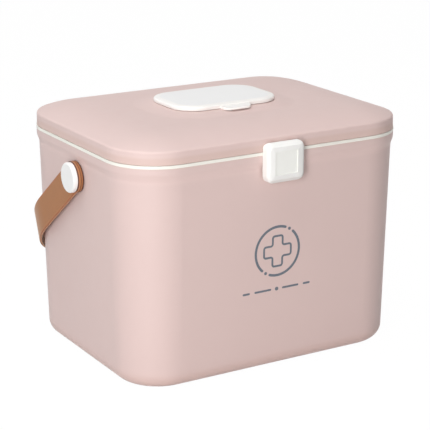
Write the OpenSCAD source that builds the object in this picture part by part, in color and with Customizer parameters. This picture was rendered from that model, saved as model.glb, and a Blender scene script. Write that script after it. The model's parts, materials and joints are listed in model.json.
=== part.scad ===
// First aid box: a drafted case with a lift-out tray, a crowned lid with a pocket
// under its own small hatch, a snap latch at the front and a carry strap that
// swings on two side buttons.
// Frame: Z up, the front (latch) faces -Y, +X is right seen from the front,
// origin at the centre of the face that the box stands on. Millimetres.

/* [Box] */
// Width over the rim
box_w = 260; // [230:2:300]
// Depth over the rim
box_d = 202.8; // [180:0.4:230]
// Height of the case up to the top of its rim
case_h = 180.5; // [165:0.5:215]
// Corner radius of the rim, seen from above
corner_r = 43.2; // [41:0.2:48]
// Wall thickness of the case and the lid
wall = 2.4; // [2:0.1:2.8]
// Draft of the case walls, per side over their height
draft = 3.66; // [2:0.02:5]
// How far the rim stands out over the wall below it
rim_out = 1.85; // [1.2:0.05:2.2]
// Fillet round the base
base_r = 12; // [9:0.5:15]

/* [Lid] */
// Height of the crown over the case rim
crown_h = 20.7; // [20.2:0.1:24]
// Radius of the crown arc
crown_r = 120; // [115:1:150]
// Rounding between the lid's side band and its top
lid_edge_r = 2; // [1.5:0.1:4]
// Opening angle of the lid, degrees
lid_open = 105; // [90:1:110]

/* [Hatch] */
// Width of the hatch
hatch_w = 95.6; // [92:0.2:102]
// Depth of the hatch
hatch_d = 65; // [62:0.2:72]
// Thickness of the hatch plate
hatch_t = 3.7; // [3.4:0.1:4.4]
// Corner radius of the hatch
hatch_r = 21.4; // [20:0.2:24]
// Height of the raised seat under the hatch
seat_h = 2; // [1.5:0.1:3]

/* [Latch] */
// Width of the latch
latch_w = 34.4; // [33:0.2:40]
// Height of the latch
latch_h = 31.9; // [31:0.1:34]
// How far the latch stands in front of the rim
latch_out = 8.5; // [8.3:0.1:10]

/* [Strap] */
// Width of the strap band
strap_w = 25; // [22:0.5:26]
// Thickness of the strap band
strap_t = 2.6; // [2.4:0.1:3.2]
// Angle below level at which the strap rests, degrees
strap_rest = 37; // [35:0.5:40]
// Lean of the strap's bends from upright, degrees
strap_lean = 20; // [15:1:22]
// How far the strap stands off behind the box, measured along the strap
strap_slack = 25; // [24:0.5:40]
// How far below the top of the case rim the strap pivots sit
pivot_drop = 24; // [24:0.5:34]
// Distance of the strap pivots in front of the middle
pivot_y = 4; // [2:0.5:6]
// Diameter of the pivot buttons
button_d = 24.5; // [22:0.5:25]

/* [Show] */
// Piece to show

/* [Hidden] */
$fn = 64;

gap = 0.3;          // clearance between pieces that move past each other
pin_fit = 0.05;     // radial clearance of every pin in its bore

// corner centres of every swept ring
cx = box_w/2 - corner_r;
cy = box_d/2 - corner_r;

// case
flare_h = 8;
flare_n = 8;
band_z = 4.1;
flare_z = case_h - band_z - flare_h;
wall_r = corner_r - rim_out;
foot_r = wall_r - draft;
floor_t = 2.6;

// tray
flange_t = 2;
flange_out = 0.1;
seam_z = case_h + flange_t;
tray_in_r = 27.8;
tray_t = 1.6;
tray_deep = 36.5;
tray_draft = 2.3;
tray_floor_z = case_h - tray_deep;
divider_x = 38;
divider_t = 1.6;
divider_h = 30;
groove_deep = 1.2;

// lid
lid_z = seam_z + gap;
crown_z = case_h + crown_h;
band_r = corner_r - 0.3;
shoulder_r = corner_r - 0.45;
lip_t = 1.8;
lip_gap = 1;
lip_deep = 3.3;

// lid hinge
hinge_r = 4;
hinge_y = box_d/2 + gap + hinge_r;
hinge_z = case_h - 3.5;
hinge_x = 62;
knuckle_w = 14;
lug_w = 6;
hinge_pin_r = 1.5;

// seat, pocket and hatch
seat_z = crown_z + seat_h;
seat_in = 1;
seat_run = 20;
seat_n = 10;
mouth_in = 5.3;
mouth_w = hatch_w - 2*mouth_in;
mouth_d = hatch_d - 2*mouth_in;
mouth_r = hatch_r - mouth_in;
plate_in_z = crown_z - wall;
pan_t = 1.6;
pan_gap = 0.4;
pan_floor_z = seat_z - 15.2;
pan_flange_z = seat_z - 10.1;
screw_in = 1.5;
screw_x = mouth_w/2 - screw_in;
screw_y = mouth_d/2 - screw_in;
boss_r = 3;
screw_r = 1.2;
screw_head_r = 2.3;
hatch_z = seat_z + gap;
hatch_top = hatch_z + hatch_t;
hatch_edge = 1.6;
hatch_crown_in = 6;
hatch_crown_r = 32;
hatch_pin_r = 0.6;
hatch_knuckle_r = 1.3;
hatch_axis_y = hatch_d/2 + 1.8;
hatch_axis_z = seat_z + gap + hatch_knuckle_r;
hatch_hinge_x = 14;
hatch_knuckle_w = 8;
hatch_lug_w = 3;
tab_w = 26;
tab_out = 9;
tab_r = 7.5;
tab_t = 1.2;
skirt_gap = 0.8;
skirt_t = 1.5;
skirt_deep = 4;

// latch
latch_r = 6;
latch_top = lid_z + 7.8;
latch_low = latch_top - latch_h;
latch_front = box_d/2 + latch_out;
latch_back = box_d/2 + 0.5;
latch_axis_r = 3.5;
latch_axis_z = latch_top - latch_axis_r;
latch_axis_y = latch_back + 3.1;
latch_pin_r = 1.25;
latch_t = 1.9;
latch_edge = 3;
lug_in = 6.2;
lug_out = 11.9;
lug_r = 2.6;
panel_w = 20.4;
panel_h = 17.9;
panel_z = latch_low + 6.6;
bead_r = 1.6;
bead_z = latch_low + 6.9;
nose_h = 4.4;

// strap
pivot_z = case_h - pivot_drop;
arm_gap = 0.8;
arm_in = box_w/2 + arm_gap;
arm_out = arm_in + strap_t;
pad_in = box_w/2 - 1.55;
pad_r = strap_w/2 + 0.25;
strap_bend_r = corner_r + 38.8;
strap_reach = (box_d/2 + pivot_y)*cos(strap_rest - strap_lean)/cos(strap_rest) + strap_slack;
// how far the block that the slab cuts the strap from reaches below and above the pivots
strap_low = strap_reach*tan(strap_rest - strap_lean) + 2*strap_w;
strap_high = 2*strap_w;
stem_r = 5;
strap_fit = 0.08;
button_z0 = arm_out + gap;
button_h = 3.6;
pivot_in = box_w/2 - 7.5;
washer_t = 1;
washer_r = 8;
pivot_screw_r = 1.6;

pink = [0.84, 0.73, 0.70];
lid_pink = [0.88, 0.79, 0.76];
white = [0.95, 0.95, 0.94];
tan_brown = [0.67, 0.47, 0.33];
steel = [0.70, 0.71, 0.73];

// Draws a profile (x = distance from the corner centre, y = height) round the
// rounded rectangle of the box: four quarter turns and four straight sides.
module swept(ax = cx, ay = cy) {
  for (q = [0:3])
    translate([(q == 0 || q == 3) ? ax : -ax, q < 2 ? ay : -ay, 0])
      rotate([0, 0, 90*q])
        rotate_extrude(angle = 90)
          children();
  translate([ax, ay, 0])
    rotate([90, 0, 0])
      linear_extrude(2*ay)
        children();
  translate([-ax, -ay, 0])
    rotate([90, 0, 180])
      linear_extrude(2*ay)
        children();
  translate([-ax, ay, 0])
    rotate([90, 0, 90])
      linear_extrude(2*ax)
        children();
  translate([ax, -ay, 0])
    rotate([90, 0, -90])
      linear_extrude(2*ax)
        children();
}

// Solid half section of a drafted cup with a round foot, from the axis outwards.
module cup2d(r0, z0, r1, z1, foot) {
  fx = r0 + (r1 - r0)*foot/(z1 - z0) - foot;
  fz = z0 + foot;
  polygon([[0, z0], [fx, z0], [fx, fz], [fx + foot, fz], [r1, z1], [0, z1]]);
  intersection() {
    translate([fx, fz])
      circle(r = foot, $fn = 96);
    translate([fx, z0 - 1])
      square([foot + 1, foot + 1]);
  }
}

// Solid half section of a crowned plate: upright side, edge rounding, and a crown
// arc that starts level at x0.
module cap2d(side_r, low_r, low_z, top_z, arc_r, edge, x0 = 0) {
  cz = top_z - arc_r;
  fx = side_r - edge;
  fz = cz + sqrt(pow(arc_r - edge, 2) - pow(fx - x0, 2));
  k = arc_r/(arc_r - edge);
  tx = x0 + (fx - x0)*k;
  tz = cz + (fz - cz)*k;
  intersection() {
    translate([x0, cz])
      circle(r = arc_r, $fn = 720);
    translate([x0, low_z])
      square([tx - x0, 60]);
  }
  if (x0 > 0)
    translate([0, low_z])
      square([x0, top_z - low_z]);
  polygon([[fx, low_z], [low_r - 0.5, low_z], [low_r - 0.15, low_z + 0.15],
           [low_r, low_z + 0.5], [side_r, fz], [fx, fz]]);
  intersection() {
    translate([fx, fz])
      circle(r = edge, $fn = 64);
    polygon([[fx, fz], [fx + 2*edge, fz], [fx + 2*edge, fz + 2*edge],
             [fx + 2*(tx - fx), fz + 2*(tz - fz)]]);
  }
}

// Section of the case wall: cup, soft S-shaped flare, upright rim with eased edges.
module case_shell2d() {
  top = case_h;
  ease = 0.5;
  out_pts = [for (i = [0:flare_n])
             [wall_r + rim_out*(1 - cos(180*i/flare_n))/2, flare_z + flare_h*i/flare_n]];
  in_pts = [for (i = [0:2:flare_n])
            [wall_r - wall + rim_out*(1 - cos(180*i/flare_n))/2,
             flare_z + 0.6 + flare_h*i/flare_n]];
  difference() {
    union() {
      cup2d(foot_r, 0, wall_r, flare_z, base_r);
      polygon(concat([[0, flare_z - 1], [wall_r - 0.03, flare_z - 1]], out_pts,
                     [[corner_r, top - ease], [corner_r - 0.15, top - 0.15],
                      [corner_r - ease, top], [0, top]]));
    }
    cup2d(foot_r - wall, floor_t, wall_r - wall, flare_z, base_r - wall);
    polygon(concat([[-1, flare_z - 0.5], [wall_r - wall - 0.02, flare_z - 0.5]], in_pts,
                   [[corner_r - wall, top - 0.4], [corner_r - wall + 0.4, top],
                    [corner_r - wall + 0.4, top + 1], [-1, top + 1]]));
  }
}

// Rounded rectangle with its middle on the origin.
module rrect(w, d, r) {
  square([w - 2*r, d], center = true);
  square([w, d - 2*r], center = true);
  for (sx = [-1, 1])
    for (sy = [-1, 1])
      translate([sx*(w/2 - r), sy*(d/2 - r)])
        circle(r = r, $fn = 96);
}

// Extrudes a 2-D side view (x = towards the rear, y = up) along X.
module side_view(x0, x1) {
  translate([x0, 0, 0])
    rotate([90, 0, 90])
      linear_extrude(x1 - x0)
        children();
}

module x_rod(x0, x1, y, z, r, n = 48) {
  translate([x0, y, z])
    rotate([0, 90, 0])
      cylinder(h = x1 - x0, r = r, $fn = n);
}

// Rear hinge lug of the case, between the rim and the pin.
module case_lug(x0) {
  difference() {
    union() {
      x_rod(x0, x0 + lug_w, hinge_y, hinge_z, hinge_r);
      side_view(x0, x0 + lug_w)
        polygon([[box_d/2 - 1.5, hinge_z - 3.5], [hinge_y, hinge_z - hinge_r],
                 [hinge_y, hinge_z + 2.5], [box_d/2 - 1.5, hinge_z + 2.5]]);
      side_view(x0 + 1.5, x0 + lug_w - 1.5)
        polygon([[box_d/2 - rim_out - 1.2, hinge_z - 14], [hinge_y - 1, hinge_z - 3.5],
                 [box_d/2 - 1.5, hinge_z - 2]]);
    }
    x_rod(x0 - 1, x0 + lug_w + 1, hinge_y, hinge_z, hinge_pin_r + pin_fit, 32);
  }
}

module case_part() {
  difference() {
    union() {
      swept()
        case_shell2d();
      translate([-cx, -cy, 0])
        cube([2*cx, 2*cy, floor_t]);
      for (s = [-1, 1])
        x_rod(s > 0 ? pivot_in : -box_w/2 + 4, s > 0 ? box_w/2 - 4 : -pivot_in,
              -pivot_y, pivot_z, 9);
    }
    for (s = [-1, 1])
      x_rod(s > 0 ? pivot_in - 1 : -box_w/2 - 1, s > 0 ? box_w/2 + 1 : 1 - pivot_in,
            -pivot_y, pivot_z, stem_r + pin_fit);
  }
  for (s = [-1, 1]) {
    case_lug(s*hinge_x - knuckle_w/2 - gap - lug_w);
    case_lug(s*hinge_x + knuckle_w/2 + gap);
  }
  intersection() {
    x_rod(-11, 11, -(box_d/2 - rim_out + 0.15), bead_z, bead_r);
    translate([-20, -box_d/2 - 5, bead_z - 5])
      cube([40, 5 + rim_out + wall/2, 10]);
  }
}

module tray_part() {
  difference() {
    union() {
      swept()
        union() {
          polygon([[tray_in_r, case_h], [corner_r + flange_out - 0.35, case_h],
                   [corner_r + flange_out - 0.1, case_h + 0.1],
                   [corner_r + flange_out, case_h + 0.35],
                   [corner_r + flange_out, seam_z - 0.35],
                   [corner_r + flange_out - 0.1, seam_z - 0.1],
                   [corner_r + flange_out - 0.35, seam_z], [tray_in_r, seam_z]]);
          polygon([[tray_in_r, seam_z], [tray_in_r + tray_t, case_h + 0.5],
                   [tray_in_r + tray_t - tray_draft, tray_floor_z],
                   [0, tray_floor_z], [0, tray_floor_z + tray_t],
                   [tray_in_r - tray_draft - 0.4, tray_floor_z + tray_t],
                   [tray_in_r - tray_draft, tray_floor_z + tray_t + 0.6]]);
          polygon([[corner_r - 5.2, case_h + 0.5], [corner_r - 5.2, case_h - 4],
                   [corner_r - 3.7, case_h - 4], [corner_r - 3.7, case_h + 0.5]]);
        }
      translate([-cx, -cy, tray_floor_z])
        cube([2*cx, 2*cy, tray_t]);
      for (sx = [-1, 1])
        for (sy = [-1, 1])
          for (k = [-1, 1])
            translate([sx*divider_x + k*(divider_t/2 + 0.15 + 0.6) - 0.6,
                       sy > 0 ? cy + tray_in_r - tray_draft - 1.6 : -(cy + tray_in_r),
                       tray_floor_z + 1])
              cube([1.2, tray_draft + 1.6, divider_h + 1]);
    }
    // lift-out finger holes in the flange corners
    for (sx = [-1, 1])
      translate([sx*(cx + tray_in_r + 5.5), 0, case_h - 1])
        linear_extrude(flange_t + 2)
          rrect(6, 26, 2.9);
  }
}

module cross_divider(x) {
  len = 2*(cy + tray_in_r - tray_draft) - 0.4;
  translate([x - divider_t/2, -len/2, tray_floor_z + tray_t + 0.1])
    difference() {
      cube([divider_t, len, divider_h]);
      // finger notch in the top edge
      translate([-1, len/2, divider_h + 6])
        rotate([0, 90, 0])
          cylinder(h = divider_t + 2, r = 14, $fn = 64);
    }
  for (k = [-1, 1])
    translate([x > 0 ? x - divider_t/2 - 1.4 : x + divider_t/2,
               k*(divider_t/2 + 0.75) - 0.6, tray_floor_z + tray_t + 0.1])
      cube([1.4, 1.2, divider_h - 8]);
}

module middle_divider() {
  len = 2*divider_x - divider_t - 0.4;
  translate([-len/2, -divider_t/2, tray_floor_z + tray_t + 0.1])
    cube([len, divider_t, divider_h - 8]);
}

module hinge_pin(s) {
  half = knuckle_w/2 + gap + lug_w;
  x_rod(s*hinge_x - half - 0.3, s*hinge_x + half + 0.3, hinge_y, hinge_z, hinge_pin_r, 32);
  x_rod(s > 0 ? s*hinge_x + half + 0.05 : s*hinge_x - half - 1.15,
        s > 0 ? s*hinge_x + half + 1.15 : s*hinge_x - half - 0.05,
        hinge_y, hinge_z, 2.5, 32);
}

// Knuckle of the lid and the leaf that carries it.
module lid_knuckle(x) {
  difference() {
    union() {
      x_rod(x - knuckle_w/2, x + knuckle_w/2, hinge_y, hinge_z, hinge_r);
      side_view(x - knuckle_w/2, x + knuckle_w/2)
        polygon([[box_d/2 + 0.5, hinge_z], [hinge_y + 2, hinge_z + 3.2],
                 [hinge_y, lid_z + 6], [box_d/2 - 1.5, lid_z + 7.4],
                 [box_d/2 - 1.5, lid_z], [box_d/2 + 0.5, lid_z]]);
    }
    x_rod(x - knuckle_w, x + knuckle_w, hinge_y, hinge_z, hinge_pin_r + pin_fit, 32);
  }
}

module hatch_lug(x0) {
  difference() {
    union() {
      x_rod(x0, x0 + hatch_lug_w, hatch_axis_y, hatch_axis_z, hatch_knuckle_r, 32);
      translate([x0, hatch_axis_y - hatch_knuckle_r, crown_z])
        cube([hatch_lug_w, 2*hatch_knuckle_r, hatch_axis_z - crown_z]);
    }
    x_rod(x0 - 1, x0 + hatch_lug_w + 1, hatch_axis_y, hatch_axis_z,
          hatch_pin_r + pin_fit, 24);
  }
}

// Ear of the lid that carries the latch pin, hidden behind the latch.
module latch_ear(x0, x1) {
  difference() {
    union() {
      x_rod(x0, x1, -latch_axis_y, latch_axis_z, lug_r);
      side_view(x0, x1)
        polygon([[-latch_axis_y - 1.5, latch_axis_z - 1.9], [-latch_axis_y, latch_axis_z],
                 [-latch_axis_y + 1.6, latch_axis_z - 0.6], [-box_d/2 + 1.6, latch_axis_z - 0.9],
                 [-box_d/2 + 1.6, lid_z], [-box_d/2 - 0.6, lid_z]]);
    }
    x_rod(x0 - 1, x1 + 1, -latch_axis_y, latch_axis_z, latch_pin_r + pin_fit, 32);
  }
}

// Half section of the seat that lifts the hatch over the crown: level in the
// middle, then a soft S-shaped ramp, here a cosine, down to the crown.
module seat2d() {
  r0 = hatch_r - seat_in;
  ramp = [for (i = [0:seat_n])
          [r0 + seat_run*i/seat_n,
           seat_z - (seat_h + 0.05)*(1 - cos(180*i/seat_n))/2]];
  polygon(concat([[0, crown_z - 1], [0, seat_z]], ramp,
                 [[r0 + seat_run, crown_z - 1]]));
}

module lid_part() {
  hx = hatch_w/2 - hatch_r;
  hy = hatch_d/2 - hatch_r;
  difference() {
    union() {
      swept(hx, hy)
        seat2d();
      translate([-hx, -hy, plate_in_z + 1])
        cube([2*hx, 2*hy, seat_z - plate_in_z - 1]);
      swept()
        union() {
          difference() {
            cap2d(shoulder_r, band_r, lid_z, crown_z, crown_r, lid_edge_r);
            cap2d(shoulder_r - wall, band_r - wall, lid_z - 1, plate_in_z, crown_r - wall,
                  max(lid_edge_r - wall, 0.5));
          }
          polygon([[tray_in_r - lip_gap - lip_t, seam_z - lip_deep],
                   [tray_in_r - lip_gap, seam_z - lip_deep],
                   [tray_in_r - lip_gap, crown_z - 4.2],
                   [tray_in_r - lip_gap - lip_t, crown_z - 4.2]]);
        }
      translate([-cx, -cy, plate_in_z])
        cube([2*cx, 2*cy, wall]);
      for (sx = [-1, 1])
        for (sy = [-1, 1])
          translate([sx*screw_x, sy*screw_y, pan_flange_z + pan_t])
            cylinder(h = plate_in_z - pan_flange_z - pan_t + 0.5, r = boss_r, $fn = 32);
    }
    translate([0, 0, plate_in_z - 1])
      linear_extrude(wall + seat_h + 3)
        rrect(mouth_w, mouth_d, mouth_r);
    for (sx = [-1, 1])
      for (sy = [-1, 1])
        translate([sx*screw_x, sy*screw_y, pan_flange_z])
          cylinder(h = 7.5, r = screw_r + pin_fit, $fn = 24);
  }
  for (s = [-1, 1]) {
    lid_knuckle(s*hinge_x);
    hatch_lug(s*hatch_hinge_x - hatch_knuckle_w/2 - gap - hatch_lug_w);
    hatch_lug(s*hatch_hinge_x + hatch_knuckle_w/2 + gap);
  }
  latch_ear(-lug_out, -lug_in);
  latch_ear(lug_in, lug_out);
}

module pocket_part() {
  ow = mouth_w - 2*pan_gap;
  od = mouth_d - 2*pan_gap;
  orr = mouth_r - pan_gap;
  difference() {
    union() {
      translate([0, 0, pan_floor_z])
        linear_extrude(seat_z - 0.2 - pan_floor_z)
          rrect(ow, od, orr);
      translate([0, 0, pan_flange_z])
        linear_extrude(pan_t)
          rrect(2*screw_x + 8.4, 2*screw_y + 8.4, 4.2);
    }
    translate([0, 0, pan_floor_z + pan_t])
      linear_extrude(40)
        rrect(ow - 2*pan_t, od - 2*pan_t, orr - pan_t);
    for (sx = [-1, 1])
      for (sy = [-1, 1])
        translate([sx*screw_x, sy*screw_y, pan_flange_z - 1])
          cylinder(h = pan_t + 2, r = screw_r + 0.2, $fn = 24);
  }
}

module pocket_screw_set() {
  for (sx = [-1, 1])
    for (sy = [-1, 1])
      translate([sx*screw_x, sy*screw_y, 0])
        difference() {
          union() {
            translate([0, 0, pan_flange_z - 1.6])
              cylinder(h = 1.6, r = screw_head_r, $fn = 32);
            translate([0, 0, pan_flange_z - 0.5])
              cylinder(h = 7.3, r = screw_r, $fn = 24);
          }
          for (t = [0, 90])
            translate([0, 0, pan_flange_z - 1.6])
              rotate([0, 0, t])
                cube([2.6, 0.5, 1.4], center = true);
        }
}

// Half section of a plate with a rounded front edge, from z0 up to z1.
module edge2d(r, z0, z1, e) {
  polygon([[0, z0], [r, z0], [r, z1 - e], [r - e, z1 - e], [r - e, z1], [0, z1]]);
  intersection() {
    translate([r - e, z1 - e])
      circle(r = e, $fn = 64);
    translate([r - e, z1 - e])
      square(e + 1);
  }
}

module hatch_part() {
  hx = hatch_w/2 - hatch_r;
  hy = hatch_d/2 - hatch_r;
  difference() {
    union() {
      swept(hx, hy)
        cap2d(hatch_r, hatch_r, hatch_z, hatch_top, hatch_crown_r, hatch_edge,
              hatch_r - hatch_crown_in);
      translate([-hx, -hy, hatch_z])
        cube([2*hx, 2*hy, hatch_t]);
      // finger tab that droops towards the lid
      intersection() {
        side_view(-tab_w, tab_w)
          polygon([[3 - hatch_d/2, hatch_z], [0.6 - hatch_d/2 - tab_out, hatch_z - 0.3],
                   [-hatch_d/2 - tab_out, hatch_z + 0.3],
                   [-hatch_d/2 - tab_out, hatch_z - 0.3 + tab_t],
                   [0.6 - hatch_d/2 - tab_out, hatch_z + 0.3 + tab_t],
                   [1 - hatch_d/2, hatch_top - 1.4], [3 - hatch_d/2, hatch_top - 1.4]]);
        translate([0, tab_w/2 - hatch_d/2 - tab_out, hatch_z - 5])
          linear_extrude(20)
            rrect(tab_w, tab_w, tab_r);
      }
      // skirt that drops into the pocket mouth
      translate([0, 0, hatch_z - skirt_deep])
        linear_extrude(skirt_deep + 0.5)
          difference() {
            rrect(mouth_w - 2*(pan_gap + pan_t + skirt_gap),
                  mouth_d - 2*(pan_gap + pan_t + skirt_gap),
                  mouth_r - pan_gap - pan_t - skirt_gap);
            rrect(mouth_w - 2*(pan_gap + pan_t + skirt_gap + skirt_t),
                  mouth_d - 2*(pan_gap + pan_t + skirt_gap + skirt_t),
                  mouth_r - pan_gap - pan_t - skirt_gap - skirt_t);
          }
      // knuckles
      for (s = [-1, 1]) {
        x_rod(s*hatch_hinge_x - hatch_knuckle_w/2, s*hatch_hinge_x + hatch_knuckle_w/2,
              hatch_axis_y, hatch_axis_z, hatch_knuckle_r, 32);
        translate([s*hatch_hinge_x - hatch_knuckle_w/2, hatch_d/2 - 1, hatch_z + 0.6])
          cube([hatch_knuckle_w, hatch_axis_y - hatch_d/2 + 1, hatch_knuckle_r]);
      }
    }
    for (s = [-1, 1])
      x_rod(s*hatch_hinge_x - hatch_knuckle_w, s*hatch_hinge_x + hatch_knuckle_w,
            hatch_axis_y, hatch_axis_z, hatch_pin_r + pin_fit, 24);
  }
}

module hatch_pin(s) {
  half = hatch_knuckle_w/2 + gap + hatch_lug_w;
  x_rod(s*hatch_hinge_x - half - 0.2, s*hatch_hinge_x + half + 0.2,
        hatch_axis_y, hatch_axis_z, hatch_pin_r, 24);
}

// Side view of the latch without its round knuckle: upright plate, bevelled edges.
module latch_side2d() {
  polygon([[-latch_back, latch_low + 1.2], [-latch_back - 1.2, latch_low],
           [-latch_front + latch_edge - 0.4, latch_low], [-latch_front, latch_low + latch_edge],
           [-latch_front, latch_axis_z + 0.4],
           [-latch_axis_y - 0.8, latch_top - 0.25], [-latch_axis_y, latch_axis_z],
           [-latch_back, latch_axis_z]]);
}

module latch_front2d(inset) {
  translate([0, (latch_low + latch_top)/2])
    rrect(latch_w - 2*inset, latch_h - 2*inset, latch_r - inset);
}

// Outer block of the latch: a rounded rectangle with a soft front edge.
module latch_bar() {
  ax = latch_w/2 - latch_r;
  az = latch_h/2 - latch_r;
  translate([0, 0, (latch_low + latch_top)/2])
    rotate([90, 0, 0]) {
      swept(ax, az)
        edge2d(latch_r, latch_back - 5, latch_front, latch_edge);
      translate([-ax, -az, latch_back - 5])
        cube([2*ax, 2*az, latch_front - latch_back + 5]);
    }
}

module latch_part() {
  difference() {
    union() {
      difference() {
        intersection() {
          union() {
            side_view(-latch_w/2, latch_w/2)
              latch_side2d();
            x_rod(-latch_w/2, latch_w/2, -latch_axis_y, latch_axis_z, latch_axis_r, 64);
          }
          latch_bar();
        }
        // hollow back
        difference() {
          translate([0, -latch_back + 5, 0])
            rotate([90, 0, 0])
              linear_extrude(latch_front - latch_back - latch_t + 5)
                intersection() {
                  latch_front2d(2.1);
                  translate([-latch_w, latch_low + nose_h])
                    square([2*latch_w, 60]);
                }
          // knuckles stay
          for (x = [-latch_w/2, -lug_in + gap, lug_out + gap]) {
            x2 = x == -lug_in + gap ? lug_in - gap : x + latch_w/2 - lug_out - gap;
            x_rod(x, x2, -latch_axis_y, latch_axis_z, latch_axis_r, 64);
            side_view(x, x2)
              polygon([[-latch_axis_y - 6, latch_axis_z - 2.4], [-latch_axis_y, latch_axis_z - 2.4],
                       [-latch_axis_y, latch_axis_z + 6], [-latch_axis_y - 6, latch_axis_z + 6]]);
          }
        }
      }
    }
    // room for the ears of the lid, open to the rear at the top
    for (s = [-1, 1])
      translate([s > 0 ? 0 : -lug_in - lug_out, 0, 0]) {
        x_rod(lug_in - gap, lug_out + gap, -latch_axis_y, latch_axis_z, lug_r + gap);
        side_view(lug_in - gap, lug_out + gap)
          polygon([[-latch_axis_y + 0.4, latch_axis_z - 4], [-latch_back + 2, latch_axis_z - 6],
                   [-latch_back + 2, latch_axis_z + 6], [-latch_axis_y + 0.4, latch_axis_z + 6]]);
      }
    // pin bore, open on the right
    x_rod(-latch_w/2 + 2, latch_w/2 + 1, -latch_axis_y, latch_axis_z,
          latch_pin_r + pin_fit, 32);
    // recessed bare panel
    translate([0, -latch_front + 0.7, panel_z + panel_h/2])
      rotate([90, 0, 0])
        linear_extrude(3)
          rrect(panel_w, panel_h, 1.2);
  }
}

module latch_pin_part() {
  x_rod(-latch_w/2 + 2.2, latch_w/2 - 1, -latch_axis_y, latch_axis_z, latch_pin_r, 32);
}

// The strap's slab: it slopes down to the rear from the pivots, and its thickness
// is the width of the band.
module strap_slab() {
  rotate([-strap_rest, 0, 0])
    translate([-box_w, 0, -strap_w/2])
      cube([2*box_w, 2*strap_reach, strap_w]);
}

// Straight arm of the strap on the left (-1) or right (1), round about its pivot.
module strap_arm(s) {
  x0 = s > 0 ? arm_in : -arm_out;
  translate([0, -pivot_y, pivot_z])
    difference() {
      union() {
        intersection() {
          rotate([-strap_lean, 0, 0])
            translate([x0, -strap_w, -strap_low])
              cube([strap_t, strap_reach - strap_bend_r + strap_w, strap_low + strap_high]);
          strap_slab();
        }
        x_rod(x0, x0 + strap_t, 0, 0, pad_r, 96);
      }
      x_rod(x0 - 1, x0 + strap_t + 1, 0, 0, stem_r + strap_fit);
    }
}

// Bend of the strap on the left (-1) or right (1): a quarter of a leaning tube,
// cut to the width of the band by the slab. It carries on from the arm.
module strap_bend(s) {
  translate([0, -pivot_y, pivot_z])
    intersection() {
      rotate([-strap_lean, 0, 0])
        translate([s*(arm_out - strap_bend_r), strap_reach - strap_bend_r, -strap_low])
          rotate([0, 0, s > 0 ? 0 : 90])
            rotate_extrude(angle = 90)
              translate([strap_bend_r - strap_t, 0])
                square([strap_t, strap_low + strap_high]);
      strap_slab();
    }
}

// Straight part of the strap behind the box, between the bends.
module strap_rear() {
  half = arm_out - strap_bend_r;
  translate([0, -pivot_y, pivot_z])
    intersection() {
      rotate([-strap_lean, 0, 0])
        translate([-half, strap_reach - strap_t, -strap_low])
          cube([2*half, strap_t, strap_low + strap_high]);
      strap_slab();
    }
}

// Round pad glued under each end of the strap, along its own axis: it keeps the
// arm clear of the rim, and its edge towards the case is eased.
module pad_part() {
  rotate_extrude($fn = 96)
    polygon([[stem_r + strap_fit, pad_in], [pad_r - 0.4, pad_in], [pad_r, pad_in + 0.4],
             [pad_r, arm_in], [stem_r + strap_fit, arm_in]]);
}

// Half section of the button's stem, from the bearing up to its head.
module stem2d() {
  translate([0, pivot_in])
    square([stem_r, button_z0 - pivot_in + 0.5]);
}

// A pivot button along its own axis: stem, head with a round edge, screw hole.
module button_part() {
  er = 1.6;
  br = button_d/2;
  difference() {
    rotate_extrude($fn = 96)
      union() {
        stem2d();
        edge2d(br, button_z0, button_z0 + button_h, er);
      }
    translate([0, 0, pivot_in - 1])
      cylinder(h = 9.4, r = pivot_screw_r + pin_fit, $fn = 24);
  }
}

module washer_part() {
  translate([0, 0, pivot_in - washer_t])
    difference() {
      cylinder(h = washer_t, r = washer_r, $fn = 48);
      translate([0, 0, -1])
        cylinder(h = washer_t + 2, r = pivot_screw_r + 0.3, $fn = 24);
    }
}

module pivot_screw_part() {
  difference() {
    union() {
      translate([0, 0, pivot_in - washer_t - 2])
        cylinder(h = 2, r = 3.3, $fn = 32);
      translate([0, 0, pivot_in - washer_t - 0.5])
        cylinder(h = 9, r = pivot_screw_r, $fn = 24);
    }
    for (t = [0, 90])
      translate([0, 0, pivot_in - washer_t - 2])
        rotate([0, 0, t])
          cube([3.6, 0.7, 1.8], center = true);
  }
}

// Lays a piece turned about Z along the strap pivot, left (-1) or right (1).
module on_pivot(s) {
  translate([0, -pivot_y, pivot_z])
    rotate([0, 90*s, 0])
      children();
}

module case() { color(pink) case_part(); }
module tray() { color(white) tray_part(); }
module tray_divider_left() { color(white) cross_divider(-divider_x); }
module tray_divider_right() { color(white) cross_divider(divider_x); }
module tray_divider_middle() { color(white) middle_divider(); }
module hinge_pin_left() { color(steel) hinge_pin(-1); }
module hinge_pin_right() { color(steel) hinge_pin(1); }
module lid() { color(lid_pink) lid_part(); }
module lid_pocket() { color(white) pocket_part(); }
module pocket_screws() { color(steel) pocket_screw_set(); }
module hatch() { color(white) hatch_part(); }
module hatch_pin_left() { color(steel) hatch_pin(-1); }
module hatch_pin_right() { color(steel) hatch_pin(1); }
module latch() { color(white) latch_part(); }
module latch_pin() { color(steel) latch_pin_part(); }
module strap_back() { color(tan_brown) strap_rear(); }
module strap_bend_left() { color(tan_brown) strap_bend(-1); }
module strap_bend_right() { color(tan_brown) strap_bend(1); }
module strap_arm_left() { color(tan_brown) strap_arm(-1); }
module strap_arm_right() { color(tan_brown) strap_arm(1); }
module strap_pad_left() { color(tan_brown) on_pivot(-1) pad_part(); }
module strap_pad_right() { color(tan_brown) on_pivot(1) pad_part(); }
module pivot_button_left() { color(white) on_pivot(-1) button_part(); }
module pivot_button_right() { color(white) on_pivot(1) button_part(); }
module pivot_washer_left() { color(steel) on_pivot(-1) washer_part(); }
module pivot_washer_right() { color(steel) on_pivot(1) washer_part(); }
module pivot_screw_left() { color(steel) on_pivot(-1) pivot_screw_part(); }
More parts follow.
